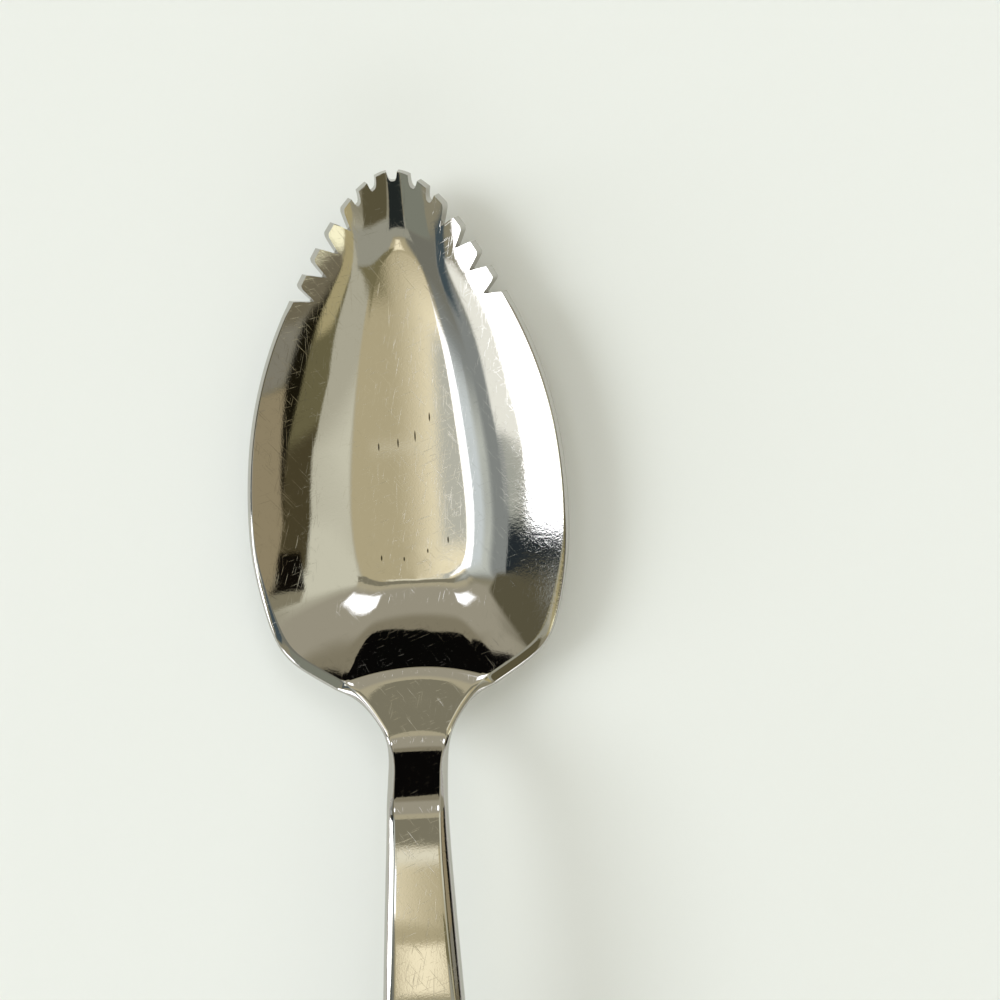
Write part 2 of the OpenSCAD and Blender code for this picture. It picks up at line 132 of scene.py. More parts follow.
# Smooth curve through knots one unit of t apart, mirrored across X at t = 0
class Curve:
    def __init__(self, knots):
        self.knots = np.array(knots, float)
        count = len(self.knots)
        rows = np.zeros((count, count))
        right = np.zeros((count, 2))
        for i in range(1, count - 1):
            rows[i, i - 1:i + 2] = 1, 4, 1
            right[i] = 3 * (self.knots[i + 1] - self.knots[i - 1])
        rows[-1, -2:] = 1, 2
        right[-1] = 3 * (self.knots[-1] - self.knots[-2])
        slopes = []
        for axis in range(2):
            rows[0, :2] = ((4, 2), (1, 0))[axis]
            right[0, axis] = (6 * self.knots[1, 0], 0)[axis]
            slopes.append(np.linalg.solve(rows, right[:, axis]))
        self.slopes = np.array(slopes).T

    def at(self, t):
        t = np.asarray(t, float)
        i = np.clip(np.floor(t).astype(int), 0, len(self.knots) - 2)
        f = (t - i)[..., None]
        return cubic(self.knots[i], self.knots[i + 1], self.slopes[i], self.slopes[i + 1], f)


# Value at each place of the curve through (place, value, slope) knots
def rise(knots, places):
    k = np.array(knots, float)
    s = np.asarray(places, float)
    i = np.clip(np.searchsorted(k[:, 0], s) - 1, 0, len(k) - 2)
    span = k[i + 1, 0] - k[i, 0]
    return cubic(k[i, 1], k[i + 1, 1], k[i, 2] * span, k[i + 1, 2] * span, (s - k[i, 0]) / span)


halfWidth = bowl["width"] / 2
rimCurve = Curve([(x * halfWidth, s * bowl["length"]) for x, s in bowl["rimShares"]]
                 + [(root, bowl["length"])])
floorCurve = Curve([(x * bowl["floorWidth"] / 2, bowl["tipWall"] + s * floorLength)
                    for x, s in bowl["floorShares"]])
lastKnot = len(bowl["rimShares"])
sampleKnots = np.linspace(0, lastKnot, bowl["samplesPerKnot"] * lastKnot + 1)
samplePoints = rimCurve.at(sampleKnots)
sampleSteps = np.linalg.norm(np.diff(samplePoints, axis=0), axis=1)
sampleLengths = np.concatenate([[0], np.cumsum(sampleSteps)])
rimLength = sampleLengths[-1]
rimHeights = [(0, bowl["tipHeight"], 0),
              (bowl["rimShares"][bowl["widestKnot"]][1] * bowl["length"], bowl["rimHeight"], 0),
              (bowl["length"], bowl["cornerHeight"], neck["rootSlope"])]


# Places along the rim and how deep the gullets cut there, from the tip to the corner
def rimCuts():
    cuts = []
    start = -teeth["tipGullet"] / 2
    for g in range(teeth["tipTeeth"] + teeth["sideTeeth"] + 1):
        atTip = g < teeth["tipTeeth"]
        opening = teeth["tipGullet"] if atTip else teeth["sideGullet"]
        depth = teeth["tipDepth"] if atTip else teeth["sideDepth"]
        for x, d in teeth["roundShares"] if atTip else teeth["slantShares"]:
            if g > 0 or x >= 0.5:
                cuts.append((start + x * opening, d * depth))
        start += opening
        if g < teeth["tipTeeth"] + teeth["sideTeeth"]:
            cuts += [(start + f * teeth["toothLength"], 0) for f in teeth["toothShares"]]
            start += teeth["toothLength"]
    steps = math.ceil((rimLength - start) / bowl["rimStep"])
    cuts += [(mix(start, rimLength, i / steps), 0) for i in range(steps + 1)]
    return np.array(cuts), start


cuts, teethEnd = rimCuts()
columnKnots = np.interp(cuts[:, 0], sampleLengths, sampleKnots)
rimPlan = rimCurve.at(columnKnots)
floorPlan = floorCurve.at(columnKnots)
rimPlan[0, 0] = floorPlan[0, 0] = 0
rootShares = np.linspace(1, 0, neck["columns"] + 1)[1:]
rootPlan = np.array([(u * root, bowl["length"] - neck["rootBow"] * (1 - u * u)) for u in rootShares])
rootFloor = np.array([mix(np.array([0, floorEnd]), floorPlan[-1], u) for u in rootShares])
rimZ = rise(rimHeights, rimPlan[:, 1])
rootZ = bowl["cornerHeight"] - neck["rootDip"] * (1 - rootShares ** 2)
corner = len(rimPlan) - 1

spokeRim = np.vstack([rimPlan, rootPlan])
spokeFloor = np.vstack([floorPlan, rootFloor])
spokeZ = np.concatenate([rimZ, rootZ])
spokeCut = np.concatenate([cuts[:, 1], np.zeros(len(rootShares))])
spokeLength = np.linalg.norm(spokeFloor - spokeRim, axis=1)


def floorHeight(s):
    f = np.maximum(0, 1 - s / bowl["floorCurve"])
    return bowl["sheet"] + bowl["floorLift"] * f * f


# Way down through the sheet under each place of the floor
def floorDown(s):
    slope = -2 * bowl["floorLift"] / bowl["floorCurve"] * np.maximum(0, 1 - s / bowl["floorCurve"])
    return -along(np.column_stack([np.zeros(len(s)), -slope, np.ones(len(s))]))


def wallRise(up):
    return up * up * (bowl["wallSwell"] - (bowl["wallSwell"] - 1) * up)


def wallPoint(columns, f, flip=None):
    rim, foot = spokeRim[columns], spokeFloor[columns]
    plan = rim + (foot - rim) * f[:, None]
    z = floorHeight(plan[:, 1]) + (spokeZ[columns] - floorHeight(rim[:, 1])) * wallRise(1 - f)
    # The floor is pressed a little hollow, and the wall carries on from it
    atFoot = foot[:, 0] ** 2 * (1 - wallRise(1 - f))
    beyond = 2 * foot[:, 0] * (rim - foot)[:, 0] * (1 - f) * f * f
    z += bowl["floorSag"] * (atFoot + beyond)
    point = np.column_stack([plan, z])
    if flip is not None:
        point[flip, 0] *= -1
    return point


def turning(s):
    thickenFrom = floorEnd - bowl["thickenShare"] * bowl["endWall"]
    return ease((s - thickenFrom) / (bowl["length"] - thickenFrom))


def along(vectors):
    return vectors / np.linalg.norm(vectors, axis=1)[:, None]


# Rows of points from the cut edge to the floor's middle, with the way through the sheet
def bowlTop():
    count = len(spokeRim)
    every = np.arange(count)
    onward = np.minimum(every + 1, count - 1)
    onward[-1] = count - 2
    back = np.abs(every - 1)
    lastFlip, firstFlip = every == count - 1, every == 0
    cut = spokeCut / spokeLength
    clear = (teeth["sideDepth"] + bowl["gulletRoom"]) / spokeLength
    edge = cut + bowl["edgeRow"] / spokeLength
    rows = [cut, edge] + [mix(edge, clear, (i + 1) / bowl["edgeRows"]) for i in range(bowl["edgeRows"])]
    for i in range(bowl["wallRows"]):
        w = (i + 1) / bowl["wallRows"]
        rows.append(mix(clear, 1, 1 - (1 - w) ** bowl["wallPacking"]))
    turn = turning(spokeRim[:, 1])
    turn[corner:] = 1
    points, through = [], []
    for f in rows:
        f = np.minimum(f, 1)
        here = wallPoint(every, f)
        across = wallPoint(onward, f, lastFlip) - wallPoint(back, f, firstFlip)
        if f[0] >= 1:
            down = floorDown(here[:, 1])
            thick = np.full(count, bowl["sheet"])
        else:
            inward = wallPoint(every, f + bowl["probe"]) - here
            normal = along(np.cross(across, inward))
            normal *= np.sign(normal[:, 2])[:, None]
            upright = turn * np.clip(1 - f / bowl["uprightShare"], 0, 1)
            down = -along(mix(normal, np.array([0, 0, 1.0]), upright[:, None]))
            fade = np.clip((1 - f) / bowl["fadeShare"], 0, 1)
            thick = mix(mix(bowl["sheet"], neck["rootThickness"], turning(here[:, 1]) * fade),
                        neck["rootThickness"], upright)
        points.append(here)
        through.append(down * thick[:, None])
    edgePoints = points[-1]
    spineS = np.clip(edgePoints[:, 1], bowl["spineFrom"], bowl["spineTo"])
    for i in range(bowl["floorRows"]):
        g = ((i + 1) / bowl["floorRows"]) ** bowl["floorPacking"]
        plan = np.column_stack([edgePoints[:, 0] * (1 - g), mix(edgePoints[:, 1], spineS, g)])
        lift = bowl["floorSag"] * plan[:, 0] ** 2
        points.append(np.column_stack([plan, floorHeight(plan[:, 1]) + lift]))
        through.append(floorDown(plan[:, 1]) * bowl["sheet"])
    return np.array(points), np.array(through)


flare = (handle["buttWidth"] - handle["width"]) / 2 / (buttFrom - neck["length"])
halfWidths = [(0, root, -neck["shoulderSlope"]),
              (neck["midLengthShare"] * neck["sweep"],
               mix(neck["width"], neck["rootWidth"], neck["midWidthShare"]) / 2, -neck["midSlope"]),
              (neck["sweep"], neck["width"] / 2, 0),
              (neck["length"], handle["width"] / 2, flare),
              (buttFrom, handle["buttWidth"] / 2, flare)]
rootHeight = bowl["cornerHeight"] - neck["rootDip"]
rampHeight = rootHeight + neck["lipHeight"] + neck["rootSlope"] * (neck["rampFrom"] - neck["lip"])
rampSlope = (neck["height"] - rampHeight) / (neck["rampTo"] - neck["rampFrom"])
bend = neck["bend"]
heights = [(0, rootHeight, neck["lipSlope"]),
           (neck["lip"], rootHeight + neck["lipHeight"], neck["rootSlope"]),
           (neck["rampFrom"] - bend, rampHeight - neck["rootSlope"] * bend, neck["rootSlope"]),
           (neck["rampFrom"] + bend, rampHeight + rampSlope * bend, rampSlope),
           (neck["rampTo"] - bend, neck["height"] - rampSlope * bend, rampSlope),
           (neck["rampTo"] + bend, neck["height"] + handle["slope"] * bend, handle["slope"]),
           (neck["length"] + handle["archPlace"], handle["archHeight"], 0),
           (neck["length"] + handle["length"] / 2, handle["midHeight"], -handle["midSlope"]),
           (restFrom, handle["buttThickness"], 0),
           (runLength, handle["buttThickness"] + handle["toeLift"], handle["toeSlope"])]
thicknesses = [(0, neck["rootThickness"], 0), (neck["sweep"], neck["thickness"], 0),
               (neck["length"], handle["thickness"], 0), (restFrom, handle["buttThickness"], 0)]
bulges = [(0, neck["shoulderBulge"], -neck["waistSlope"]),
          (neck["waistPlace"] * neck["sweep"], neck["waistShare"] * neck["bulge"], 0),
          (neck["sweep"], neck["bulge"], 0),
          (neck["length"], handle["bulge"], 0)]


# Top points of a straight row, from its edge to the middle, the way out of its edge and the thickness
def handleRow(n):
    u = np.linspace(1, 0, neck["columns"] + 1)
    width = float(rise(halfWidths, n))
    bow = neck["rootBow"] * (1 - ease(n / (neck["bowEndShare"] * neck["sweep"])))
    dip = neck["rootDip"] * (1 - ease(n / (neck["dipEndShare"] * neck["sweep"])))
    z = float(rise(heights, n)) + dip * u * u
    points = np.column_stack([u * width, bowl["length"] + n - bow * (1 - u * u), z])
    step = neck["probe"]
    slope = float(rise(halfWidths, n + step) - rise(halfWidths, n)) / step
    out = Vector((1, -slope, 0)).normalized() * float(rise(bulges, min(n, neck["length"])))
    return points, out, float(rise(thicknesses, min(n, restFrom)))


# The rows bend more and more until the last one follows the butt's half ellipse
def buttRow(i):
    a = handle["buttWidth"] / 2
    f = i / handle["buttRows"]
    width = a * math.cos(math.radians(f * handle["buttAngle"]))
    x = np.linspace(1, 0, neck["columns"] + 1) * width
    around = buttFrom + handle["buttRound"] * np.sqrt(np.maximum(0, 1 - (x / a) ** 2))
    n = mix(around[0], around, f * f)
    outs = []
    for px, pn in zip(x, n):
        way = Vector((px / a / a, (pn - buttFrom) / handle["buttRound"] ** 2, 0)).normalized()
        outs.append(way * handle["bulge"])
    return np.column_stack([x, bowl["length"] + n, rise(heights, n)]), outs


# How deep each row of the side lies, as shares of the thickness, for a ratio of bulge to thickness
def sideDepths(ratio):
    slope = min(ratio, side["steepest"]) * math.tan(math.radians(side["chamfer"]))
    depths = [slope * out * share for out, share in zip(side["outShares"], side["chamferShares"])]
    depths.append(depths[-1] + side["fall"])
    depths.append(max(side["widestShare"], depths[-1] + side["fall"]))
    return depths + [mix(depths[-1], 1, share) for share in side["underShares"]]


def place(point):
    return Vector((point[0] * mm, (middle - point[1]) * mm, point[2] * mm))


def turned(vector):
    return Vector((vector[0] * mm, -vector[1] * mm, vector[2] * mm))


def buildSpoon():
    bm = bmesh.new()
    through = bm.verts.layers.float_vector.new("through")
    outward = bm.verts.layers.float_vector.new("outward")
    depth = bm.verts.layers.float.new("depth")
    across = bm.verts.layers.float.new("across")
    inward = bm.verts.layers.float.new("inward")

    # The blank is half of a flat grid, pressed into the bowl
    points, ways = bowlTop()
    rows, columns = points.shape[:2]
    bmesh.ops.create_grid(bm, x_segments=columns - 1, y_segments=rows - 1, size=1)
    rootVerts = {}
    for vert in list(bm.verts):
        c = round((vert.co.x + 1) / 2 * (columns - 1))
        r = round((vert.co.y + 1) / 2 * (rows - 1))
        vert[across], vert[inward] = vert.co.x, r
        vert.co = place(points[r, c])
        vert[through] = turned(ways[r, c])
        if r == 0 and c <= corner:
            vert[outward] = rimOut(c)
        if r == 0 and c >= corner:
            rootVerts[c - corner] = vert
    # The press leaves no crease below the corners
    soft = []
    for vert in bm.verts:
        c = round((vert[across] + 1) / 2 * (columns - 1))
        inBand = bowl["smoothFrom"] <= vert[inward] < bowl["smoothTo"]
        if inBand and abs(c - corner) <= bowl["smoothColumns"]:
            soft.append(vert)
    for i in range(bowl["smoothTimes"]):
        bmesh.ops.smooth_vert(bm, verts=soft, factor=bowl["smoothing"],
                              use_axis_x=True, use_axis_y=True, use_axis_z=True)

    # The neck and handle are drawn out of the root's edge, row by row
    row = [rootVerts[j] for j in range(neck["columns"] + 1)]
    row[0][outward] = turned(handleRow(0)[1])
    stops = [bowl["edgeRow"]]
    while stops[-1] < neck["length"]:
        stops.append(stops[-1] + neck["rowStep"])
    steps = math.ceil((buttFrom - stops[-1]) / handle["rowStep"])
    stops += [mix(stops[-1], buttFrom, (i + 1) / steps) for i in range(steps)]
    for n in stops:
        points, out, thick = handleRow(n)
        row = drawOut(bm, row, points, [out] + [None] * neck["columns"], thick, through, outward)
    for i in range(1, handle["buttRows"] + 1):
        points, outs = buttRow(i)
        if i < handle["buttRows"]:
            outs = outs[:1] + [None] * neck["columns"]
        row = drawOut(bm, row, points, outs, handle["buttThickness"], through, outward)

    for vert in bm.verts:
        if abs(vert.co.x) < middleWithin:
            vert.co.x = 0
    bmesh.ops.remove_doubles(bm, verts=bm.verts, dist=mergeWithin)
    bmesh.ops.mirror(bm, geom=bm.verts[:] + bm.edges[:] + bm.faces[:], matrix=Matrix.Identity(4),
                     merge_dist=mergeWithin, axis="X")
    for vert in bm.verts:
        if vert.co.x < 0:
            vert[through] = Vector((-vert[through].x, vert[through].y, vert[through].z))
            vert[outward] = Vector((-vert[outward].x, vert[outward].y, vert[outward].z))
    bmesh.ops.dissolve_degenerate(bm, edges=bm.edges, dist=mergeWithin)

    # The sheet gets its thickness, and its edge is rolled out round
    made = bmesh.ops.extrude_face_region(bm, geom=bm.faces[:])["geom"]
    under = {g for g in made if isinstance(g, bmesh.types.BMVert)}
    for vert in under:
        vert.co += vert[through]
        vert[depth] = 1
    sides = [e for e in bm.edges if (e.verts[0] in under) != (e.verts[1] in under)]
    cutCount = len(side["outShares"])
    inner = bmesh.ops.subdivide_edges(bm, edges=sides, cuts=cutCount, use_grid_fill=True)["geom_inner"]
    for vert in inner:
        if isinstance(vert, bmesh.types.BMVert):
            row = round(vert[depth] * (cutCount + 1)) - 1
            deep = sideDepths(vert[outward].length / vert[through].length)[row]
            vert.co += vert[outward] * side["outShares"][row] + vert[through] * (deep - vert[depth])
    bmesh.ops.recalc_face_normals(bm, faces=bm.faces[:])
    mesh = bpy.data.meshes.new("spoon")
    bm.to_mesh(mesh)
    bm.free()
    for name in ("through", "outward", "depth", "across", "inward"):
        mesh.attributes.remove(mesh.attributes[name])
    return mesh


# Way out of the rim's edge at a column, as long as the rim bulges there
def rimOut(c):
    before, after = rimPlan[max(c - 1, 0)].copy(), rimPlan[min(c + 1, corner)]
    if c == 0:
        before = after * np.array([-1, 1])
    d = after - before
    out = np.array([d[1], -d[0], 0]) / np.linalg.norm(d)
    if c == corner:
        out = np.array(handleRow(0)[1].normalized())
    bulge = mix(bowl["rimBulge"], neck["shoulderBulge"], turning(rimPlan[c, 1]))
    return turned(out * bulge * np.clip((cuts[c, 0] - teethEnd) / teeth["bulgeFade"], 0, 1))


# Draws the next row out of the last one and returns its vertices in order
def drawOut(bm, row, points, outs, thick, through, outward):
    edges = [bm.edges.get((row[j], row[j + 1])) for j in range(len(row) - 1)]
    made = bmesh.ops.extrude_edge_only(bm, edges=edges)["geom"]
    verts = [g for g in made if isinstance(g, bmesh.types.BMVert)]
    follow = {}
    for vert in verts:
        old = next(e.other_vert(vert) for e in vert.link_edges if e.other_vert(vert) in row)
        follow[row.index(old)] = vert
    newRow = [follow[j] for j in range(len(row))]
    for vert, point, out in zip(newRow, points, outs):
        vert.co = place(point)
        vert[through] = Vector((0, 0, -thick * mm))
        vert[outward] = turned(out) if out is not None else Vector((0, 0, 0))
    return newRow


spoonMesh = buildSpoon()
spoonMesh.shade_smooth()
spoonMesh.set_sharp_from_angle(angle=math.radians(side["sharpFrom"]))
spoon = bpy.data.objects.new("spoon", spoonMesh)
bpy.context.scene.collection.objects.link(spoon)
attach(spoon, "root")
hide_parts("bowl", "neck", "handle")
print("spoon pressed", len(spoonMesh.polygons))


# An sRGB hex colour as the linear one that the shaders use
def linear(hexColour):
    values = [int(hexColour[i:i + 2], 16) / 255 for i in (1, 3, 5)]
    return tuple(v / 12.92 if v <= 0.04045 else ((v + 0.055) / 1.055) ** 2.4 for v in values) + (1,)


# Settings are properties or sockets, by name or number. A property comes before the sockets that it changes
def addNode(tree, kind, settings=None, links=None):
    node = tree.nodes.new(kind)
    for name, value in (settings or {}).items():
        if isinstance(name, int) or name in node.inputs:
            node.inputs[name].default_value = value
        else:
            setattr(node, name, value)
    for name, source in (links or {}).items():
        tree.links.new(source, node.inputs[name])
    return node


def newMaterial(name):
    material = bpy.data.materials.new(name)
    material.use_nodes = True
    material.node_tree.nodes.clear()
    return material, material.node_tree


# Polished 18/10 stainless steel: stamped, then buffed on wheels. It mirrors the room, gently wavy where the
# press drew the sheet, with hairline scratches from washing. A few small pits that the press left on the
# floor have their shade painted in as dark spots of colour
steel = {
    "colour": "#bcb9b3", "roughness": 0.035, "scratchedRoughness": 0.16,
    # across and along each hair in mm, direction in degrees, share of the noise cut off and depth in mm.
    # Real hairs are under 0.01 mm wide and are drawn coarser, so that they show
    "hairs": [(0.05, 2.6, 14, 0.68, 0.0012), (0.05, 3.4, -38, 0.68, 0.0012), (0.05, 2.2, 71, 0.68, 0.0012),
              (0.06, 5.0, 2, 0.69, 0.001)],
    "hairFade": 0.1,
    "waves": [(6.0, 0.004), (1.3, 0.0005)],  # size of the swells and their height, mm
    "grain": (0.16, 0.0009),
    # scuffs: right of the middle line and back from the tip, half width and length, grain and depth, mm
    "scuffAt": (12.6, 36), "scuffSize": (3.2, 9), "scuffGrain": 0.3, "scuffDepth": 0.012,
    "scuffFade": (1.2, 0.5),
    # press pits with painted shade, a dark colour in the steel: right of the middle line, back from the tip,
    # half length, mm
    "shadedPits": [(-3.25, 36.3, 0.25), (-1.05, 36.5, 0.2), (1.3, 35.8, 0.2), (3.35, 34.8, 0.3),
              (-3.0, 25.4, 0.35), (-1.1, 25.1, 0.4), (0.6, 24.5, 0.5), (2.1, 22.7, 0.4)],
    # width, fade and dark colour of the painted shade in the press pits
    "shadedPitWidth": 0.07, "shadedPitFade": (1.3, 0.7), "pitShadeColour": "#3a352b",
}


# 1 in an oval on the metal and 0 away from it, which fades between two multiples of its half sizes
def ovalMask(across, back, halfSizes, fade):
    centre = (across * mm, (middle - back) * mm, 0)
    offset = addNode(tree, "ShaderNodeVectorMath", {"operation": "SUBTRACT", 1: centre}, {0: spot})
    scales = (perMm / halfSizes[0], perMm / halfSizes[1], 0)
    shaped = addNode(tree, "ShaderNodeVectorMath", {"operation": "MULTIPLY", 1: scales},
                     {0: offset.outputs[0]})
    away = addNode(tree, "ShaderNodeVectorMath", {"operation": "LENGTH"}, {0: shaped.outputs[0]})
    return addNode(tree, "ShaderNodeMapRange", {"From Min": fade[0], "From Max": fade[1]},
                   {"Value": away.outputs["Value"]}).outputs["Result"]


steelMaterial, tree = newMaterial("polishedStainlessSteel")
spotNode = addNode(tree, "ShaderNodeTexCoord")
spot = spotNode.outputs["Object"]
# 1 on the hollow side of the sheet, which faces up, and 0 on its back
rising = addNode(tree, "ShaderNodeSeparateXYZ", links={0: spotNode.outputs["Normal"]}).outputs["Z"]
inside = addNode(tree, "ShaderNodeMath", {"operation": "GREATER_THAN", 1: 0}, {0: rising}).outputs[0]
perMm = 1 / mm
height, worn = None, None
for across, alongHair, direction, kept, depth in steel["hairs"]:
    turnedSpot = addNode(tree, "ShaderNodeMapping",
                         {"Rotation": (0, 0, math.radians(direction)), "Location": (direction * mm, 0, 0)},
                         {"Vector": spot})
    stretched = addNode(tree, "ShaderNodeMapping",
                        {"Scale": (perMm / across, perMm / alongHair, perMm / alongHair)},
                        {"Vector": turnedSpot.outputs[0]})
    streaks = addNode(tree, "ShaderNodeTexNoise", {"Scale": 1, "Detail": 2, "Roughness": 0.5},
                      {"Vector": stretched.outputs[0]})
    hair = addNode(tree, "ShaderNodeMapRange", {"From Min": kept, "From Max": kept + steel["hairFade"]},
                   {"Value": streaks.outputs["Fac"]}).outputs["Result"]
    # Scratch by scratch, the height and the wear add up
    height = addNode(tree, "ShaderNodeMath", {"operation": "MULTIPLY_ADD", 1: -depth, 2: 0},
                     {0: hair} if height is None else {0: hair, 2: height}).outputs[0]
    worn = addNode(tree, "ShaderNodeMath", {"operation": "ADD", 1: 0},
                   {0: hair} if worn is None else {0: hair, 1: worn}).outputs[0]
for size, swell in steel["waves"] + [steel["grain"]]:
    scaled = addNode(tree, "ShaderNodeVectorMath", {"operation": "SCALE", "Scale": perMm / size}, {0: spot})
    swells = addNode(tree, "ShaderNodeTexNoise", {"Scale": 1, "Detail": 1, "Roughness": 0.5},
                     {"Vector": scaled.outputs[0]})
    height = addNode(tree, "ShaderNodeMath", {"operation": "MULTIPLY_ADD", 1: swell},
                     {0: swells.outputs["Fac"], 2: height}).outputs[0]

# The right wall is scuffed where other cutlery rubbed it
near = ovalMask(*steel["scuffAt"], steel["scuffSize"], steel["scuffFade"])
scaled = addNode(tree, "ShaderNodeVectorMath", {"operation": "SCALE", "Scale": perMm / steel["scuffGrain"]},
                 {0: spot})
rubbed = addNode(tree, "ShaderNodeTexNoise", {"Scale": 1, "Detail": 3, "Roughness": 0.7},
                 {"Vector": scaled.outputs[0]})
scuff = addNode(tree, "ShaderNodeMath", {"operation": "MULTIPLY"},
                {0: rubbed.outputs["Fac"], 1: near})
scuff = addNode(tree, "ShaderNodeMath", {"operation": "MULTIPLY"}, {0: scuff.outputs[0], 1: inside})
height = addNode(tree, "ShaderNodeMath", {"operation": "MULTIPLY_ADD", 1: steel["scuffDepth"]},
                 {0: scuff.outputs[0], 2: height}).outputs[0]

# Painted shade: the small pits that the press left on the floor of the bowl are tinted dark, with no dent
# made in the surface
pitShades = None
for across, back, halfLength in steel["shadedPits"]:
    pitShade = ovalMask(across, back, (steel["shadedPitWidth"], halfLength), steel["shadedPitFade"])
    pitShades = addNode(tree, "ShaderNodeMath", {"operation": "ADD", 1: 0},
                     {0: pitShade} if pitShades is None else {0: pitShade, 1: pitShades}).outputs[0]
pitShades = addNode(tree, "ShaderNodeMath", {"operation": "MULTIPLY"}, {0: pitShades, 1: inside}).outputs[0]
rough = addNode(tree, "ShaderNodeMapRange",
                {"To Min": steel["roughness"], "To Max": steel["scratchedRoughness"]},
                {"Value": worn}).outputs["Result"]
bump = addNode(tree, "ShaderNodeBump", {"Strength": 1, "Distance": mm}, {"Height": height}).outputs["Normal"]
# The steel's own colour, with painted shade mixed in at the press pits
tint = addNode(tree, "ShaderNodeMix", {"data_type": "RGBA", 6: linear(steel["colour"]),
                                       7: linear(steel["pitShadeColour"])}, {0: pitShades}).outputs[2]
shader = addNode(tree, "ShaderNodeBsdfPrincipled", {"Metallic": 1},
                 {"Base Color": tint, "Roughness": rough, "Normal": bump})
addNode(tree, "ShaderNodeOutputMaterial", links={"Surface": shader.outputs["BSDF"]})
spoonMesh.materials.append(steelMaterial)

# Table: white lacquered board, sprayed and rubbed down, which gives an even pale ground with a faint sheen
table = {"size": 8, "colour": "#e9ebe9", "roughness": 0.85}  # metres
bm = bmesh.new()
bmesh.ops.create_grid(bm, x_segments=1, y_segments=1, size=table["size"] / 2)
floorMesh = bpy.data.meshes.new("table")
bm.to_mesh(floorMesh)
bm.free()
floor = bpy.data.objects.new("table", floorMesh)
bpy.context.scene.collection.objects.link(floor)
floorMaterial, tree = newMaterial("lacqueredBoard")
shader = addNode(tree, "ShaderNodeBsdfPrincipled",
                 {"Base Color": linear(table["colour"]), "Roughness": table["roughness"]})
addNode(tree, "ShaderNodeOutputMaterial", links={"Surface": shader.outputs["BSDF"]})
floorMesh.materials.append(floorMaterial)

